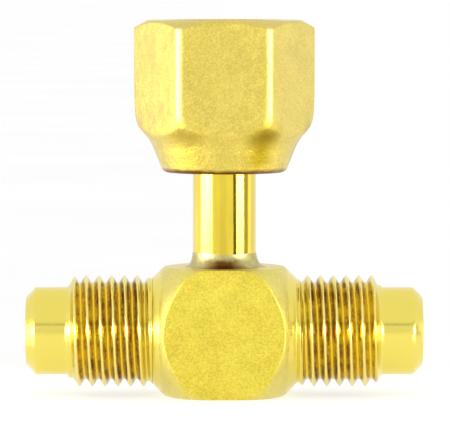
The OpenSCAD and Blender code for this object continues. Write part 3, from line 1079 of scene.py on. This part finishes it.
def braze_alloy():
    """Silver-bearing braze: pale, rippled, with brown painted shade in its foot at the front and back."""
    s = Surface("braze_finish", Metallic=1.0, **{"Coat Weight": 0.1, "Coat Roughness": 0.4, "Coat IOR": 1.5})
    x, _, z = s.coordinates()
    tones = [(0.3, (0.46, 0.40, 0.13)), (0.55, (0.58, 0.51, 0.21)), (0.8, (0.70, 0.64, 0.34))]
    colour = s.ramp(s.noise(0.9, 3.0, 0.6), tones)
    # painted shade: brown in the foot of the fillet at the front and back, for the shade and dark reflection
    # against the block
    facing = s.fall(s.math("ABSOLUTE", x), 0.6, 2.2)
    foot = s.plus(z, s.times(s.noise(0.7, 2.0), -0.8 * MM))
    low = BRAZE_LOW[2]
    painted_foot_shade = s.times(facing, s.fall(foot, low + 0.2, low + 0.7))
    colour = s.mix(painted_foot_shade, colour, PAINTED_FOOT_SHADE_BROWN)
    ripple = s.noise(0.5, 2.0, 0.5, (1, 1, 2.0), 0.6)
    roughness = s.spread(ripple, 0.34, 0.46)
    return s.finish(colour, roughness, s.bump(ripple, 0.03))


def bronze():
    tones = [(0.3, (0.50, 0.25, 0.11)), (0.6, (0.66, 0.36, 0.18)), (0.8, (0.75, 0.45, 0.25))]
    s = Surface("bronze_finish", Metallic=1.0)
    return grained(s, tones, (0.8, 3.0), (0.1, 2.0, 0.6), (0.28, 0.42), 0.004)


def spring_steel():
    tones = [(0.3, grey(0.42)), (0.7, (0.60, 0.61, 0.63))]
    s = Surface("spring_steel_finish", Metallic=1.0)
    return grained(s, tones, (0.4, 2.0), (0.05, 2.0), (0.2, 0.34), 0.002)


def ptfe():
    tones = [(0.3, (0.78, 0.77, 0.74)), (0.7, (0.88, 0.88, 0.86))]
    s = Surface("ptfe_finish", **{"Subsurface Weight": 0.25, "Subsurface Radius": (0.001, 0.001, 0.001)})
    return grained(s, tones, (0.6, 3.0), (0.2, 2.0), (0.38, 0.52), 0.006)


def nitrile():
    tones = [(0.3, grey(0.014)), (0.7, grey(0.035))]
    return grained(Surface("nitrile_finish"), tones, (0.3, 3.0), (0.08, 3.0), (0.5, 0.7), 0.006)


# ---------------------------------------------------------------- pieces on their bodies

FINISHES = {
    "forged_brass": forged_brass(), "nut_brass": nut_brass(), "stem_brass": stem_brass(),
    "braze": braze_alloy(), "turned_brass": turned_brass(), "bronze": bronze(),
    "spring_steel": spring_steel(), "ptfe": ptfe(), "rubber": nitrile(),
}


def place_piece(obj, node, body, slot):
    """Gives a piece its finish and its body, and hides the CAD node that it stands for."""
    obj.data.materials.clear()
    obj.data.materials.append(FINISHES[slot])
    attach(obj, body)
    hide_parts(node)


place_piece(build_tee_body(), "tee_body", "root", "forged_brass")
place_piece(build_swivel_stem(), "swivel_stem", "root", "stem_brass")
place_piece(build_braze_fillet(), "braze_fillet", "root", "braze")
place_piece(build_core_depressor(), "core_depressor", "root", "turned_brass")
place_piece(build_swivel_nut(), "swivel_nut", "nut", "nut_brass")
place_piece(build_slip_washer(), "slip_washer", "washer", "bronze")

for side, pin_body in ((-1, "left_pin"), (1, "right_pin")):
    place_piece(build_core_plug(side), port_name(side, "core_plug"), "root", "turned_brass")
    parts = build_core_parts(side)
    for part, body, slot in (
        ("core_barrel", "root", "turned_brass"), ("barrel_seal", "root", "ptfe"),
        ("core_pin", pin_body, "turned_brass"), ("valve_cup", pin_body, "turned_brass"),
        ("cup_seal", pin_body, "rubber"),
    ):
        place_piece(parts[part], port_name(side, part), body, slot)
    spring = build_core_spring(side)
    place_piece(spring, port_name(side, "core_spring"), "root", "spring_steel")
    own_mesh(spring)


# ---------------------------------------------------------------- studio

# Strips of the surroundings near the horizon: (start, end, brightness), in degrees rightwards from the front
STRIPS = [
    (-180, -128, 0.9), (-128, -92, 1.1), (-92, -84, 8.0), (-84, -45, 13.0), (-45, -16, 1.0),
    (-16, 8, 0.88), (8, 44, 1.0), (44, 73, 13.0), (73, 94, 0.95), (94, 112, 1.3), (112, 180, 0.92),
]
STRIP_SCALE = 15.0
STRIP_SOFT = 1.5
SKY_LEVEL = 0.97
SEAM_DEPTH = 0.85
FLOOR_LEVEL = 0.68
FLOOR_ALBEDO = 0.40


def strip_level(s, right, back):
    """Brightness of the strip in a direction, from its two level coordinates."""
    turn = s.math("ARCTAN2", right, s.times(back, -1.0))
    share = s.spread(turn, 0, 1, -math.pi, math.pi)
    stops = []
    for start, end, level in STRIPS:
        for angle in (start + STRIP_SOFT, end - STRIP_SOFT):
            stops.append(((angle + 180) / 360, grey(level / STRIP_SCALE)))
    return s.times(s.ramp(share, stops), STRIP_SCALE)


class Surroundings(Surface):
    """The world's own nodes, with directions in place of object coordinates."""

    def __init__(self):
        world = bpy.data.worlds.new("studio")
        bpy.context.scene.world = world
        world.use_nodes = True
        self.tree = world.node_tree
        self.place = self.tree.nodes.new("ShaderNodeTexCoord").outputs["Generated"]


def build_world():
    """A white tent, fixed to the room: bright panels low on both sides, and a seam above the front."""
    s = Surroundings()
    x, y, z = s.coordinates()
    height = s.math("ARCSINE", z)
    panel = s.spread(height, 1, 0, math.radians(8), math.radians(11))
    seam = s.times(s.spread(height, 0, 1, math.radians(18.5), math.radians(19.5)),
                  s.spread(height, 1, 0, math.radians(21.5), math.radians(22.5)))
    front = s.spread(y, 1, 0, -0.4, -0.2)
    sky = s.times(SKY_LEVEL, s.math("SUBTRACT", 1.0, s.times(s.times(seam, front), SEAM_DEPTH)))
    level = s.plus(s.times(strip_level(s, x, y), panel),
                   s.times(sky, s.math("SUBTRACT", 1.0, panel)))
    background = s.tree.nodes["Background"]
    background.inputs["Color"].default_value = (1, 1, 1, 1)
    s.link(level, background.inputs["Strength"])


def build_floor():
    """A pale floor, lit from below, whose light carries on each strip of the surroundings."""
    half = 8.0
    corners = [(-half, -half, 0), (half, -half, 0), (half, half, 0), (-half, half, 0)]
    floor = plain_object("studio_floor", corners, [(0, 1, 2, 3)])
    s = Surface("floor_finish", **{"Roughness": 0.9, "Specular IOR Level": 0.0})
    colour = s.ramp(s.noise(60, 2.0), [(0.3, grey(FLOOR_ALBEDO - 0.01)), (0.7, grey(FLOOR_ALBEDO + 0.01))])
    x, y, _ = s.coordinates()
    away = s.distance(x, y)
    near = s.rise(away, 32, 45)
    strip = s.math("MINIMUM", strip_level(s, x, y), s.spread(away, 3.0, STRIP_SCALE, 0.08, 0.24))
    level = s.math("SUBTRACT", strip, 1.0 - FLOOR_LEVEL)
    under = s.times(FLOOR_LEVEL, s.math("SUBTRACT", 1.0, near))
    s.shader.inputs["Emission Color"].default_value = (1, 1, 1, 1)
    s.link(s.plus(s.times(level, near), under), s.shader.inputs["Emission Strength"])
    floor.data.materials.append(s.finish(colour))


# Cards as (start, end, brightness) in degrees, their nearest and farthest edges and their height in metres
CARDS = [(32.0, 44.0, 0.15), (74.0, 93.0, 0.5)]
CARD_NEAR, CARD_FAR, CARD_TOP = 0.07, 1.2, 0.19


def build_card(number, start, end, level):
    """A dark card on the floor, standing up at its far edge. Only reflections see it, the camera doesn't."""
    angles = np.radians(np.linspace(start, end, 9))
    lifted = 0.0004
    rows = [(CARD_NEAR, lifted), (CARD_FAR, lifted), (CARD_FAR, CARD_TOP)]
    points = [(r * math.sin(a), -r * math.cos(a), z) for r, z in rows for a in angles]
    columns = len(angles)
    faces = [(k * columns + i, k * columns + i + 1, (k + 1) * columns + i + 1, (k + 1) * columns + i)
             for k in range(len(rows) - 1) for i in range(columns - 1)]
    card = plain_object(f"card_{number}", points, faces)
    s = Surface(f"card_finish_{number}", **{
        "Roughness": 1, "Specular IOR Level": 0, "Emission Color": (1, 1, 1, 1), "Emission Strength": level})
    card.data.materials.append(s.finish(s.ramp(s.noise(40, 2.0), [(0.3, grey(0.01)), (0.7, grey(0.02))])))
    card.visible_camera = False
    card.visible_diffuse = False
    card.visible_shadow = False


FRAME_WIDTH = 450
PIXELS_PER_MM = 10.06
ELEVATION = math.radians(3)
DISTANCE = 500


def build_camera():
    """A long lens from a little above the fitting, aimed near the middle of its height."""
    sensor = 36.0
    data = bpy.data.cameras.new("camera")
    data.sensor_width = sensor
    data.lens = PIXELS_PER_MM * DISTANCE / FRAME_WIDTH * sensor
    data.clip_start, data.clip_end = 0.01, 50
    camera = bpy.data.objects.new("camera", data)
    aim = Vector((0.06, 0, RUN_Z + 11.98)) * MM
    offset = Vector((0, -math.cos(ELEVATION), math.sin(ELEVATION))) * DISTANCE * MM
    camera.location = aim + offset
    camera.rotation_euler = (-offset).to_track_quat("-Z", "Y").to_euler()
    bpy.context.scene.collection.objects.link(camera)
    bpy.context.scene.camera = camera


build_floor()
build_world()
for number, card in enumerate(CARDS):
    build_card(number, *card)
build_camera()
bpy.context.scene.view_settings.view_transform = "Standard"
